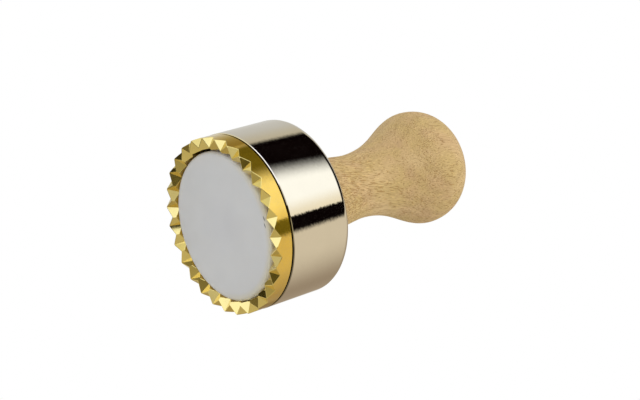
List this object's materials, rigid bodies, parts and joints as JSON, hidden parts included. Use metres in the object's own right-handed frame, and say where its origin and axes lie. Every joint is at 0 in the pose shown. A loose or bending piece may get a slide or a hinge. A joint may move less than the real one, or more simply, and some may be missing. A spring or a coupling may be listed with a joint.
{
  "type": "ravioli stamp",
  "caption": "Round ravioli stamp: toothed brass cutting ring in a plated sleeve, spring-loaded white ejector disc and a turned wooden handle.",
  "frame": {"origin": "on the stamp's axis, in the plane of the teeth's crests", "axes": "+Z along the stamp's axis from the teeth to the handle; +X through an outer tip of a tooth"},
  "size_m": [0.0602, 0.0602, 0.1035],
  "materials": {
    "brass": "polished brass, machined facets",
    "plating": "polished nickel plating",
    "white_plastic": "satin white moulding",
    "beech": "sanded, unvarnished beech",
    "stud_steel": "zinc-plated",
    "flat_washer_steel": "zinc-plated",
    "lock_washer_steel": "spring steel",
    "nut_steel": "zinc-plated",
    "spring_steel": "drawn spring wire"
  },
  "bodies": {
    "stamp_body": {"cutter_ring": "brass", "head_sleeve": "plating", "wooden_handle": "beech", "handle_stud": "stud_steel", "flat_washer": "flat_washer_steel", "lock_washer": "lock_washer_steel", "handle_nut": "nut_steel", "return_spring": "spring_steel"},
    "ejector": {"ejector_disc": "white_plastic"}
  },
  "joints": [
    {"name": "ejector_slide", "type": "slide", "parent": "stamp_body", "child": "ejector", "axis": [0, 0, 1], "range_m": [0, 0.012], "stiffness_N_per_m": 840, "springref_m": -0.005, "deforming": ["return_spring"]}
  ]
}
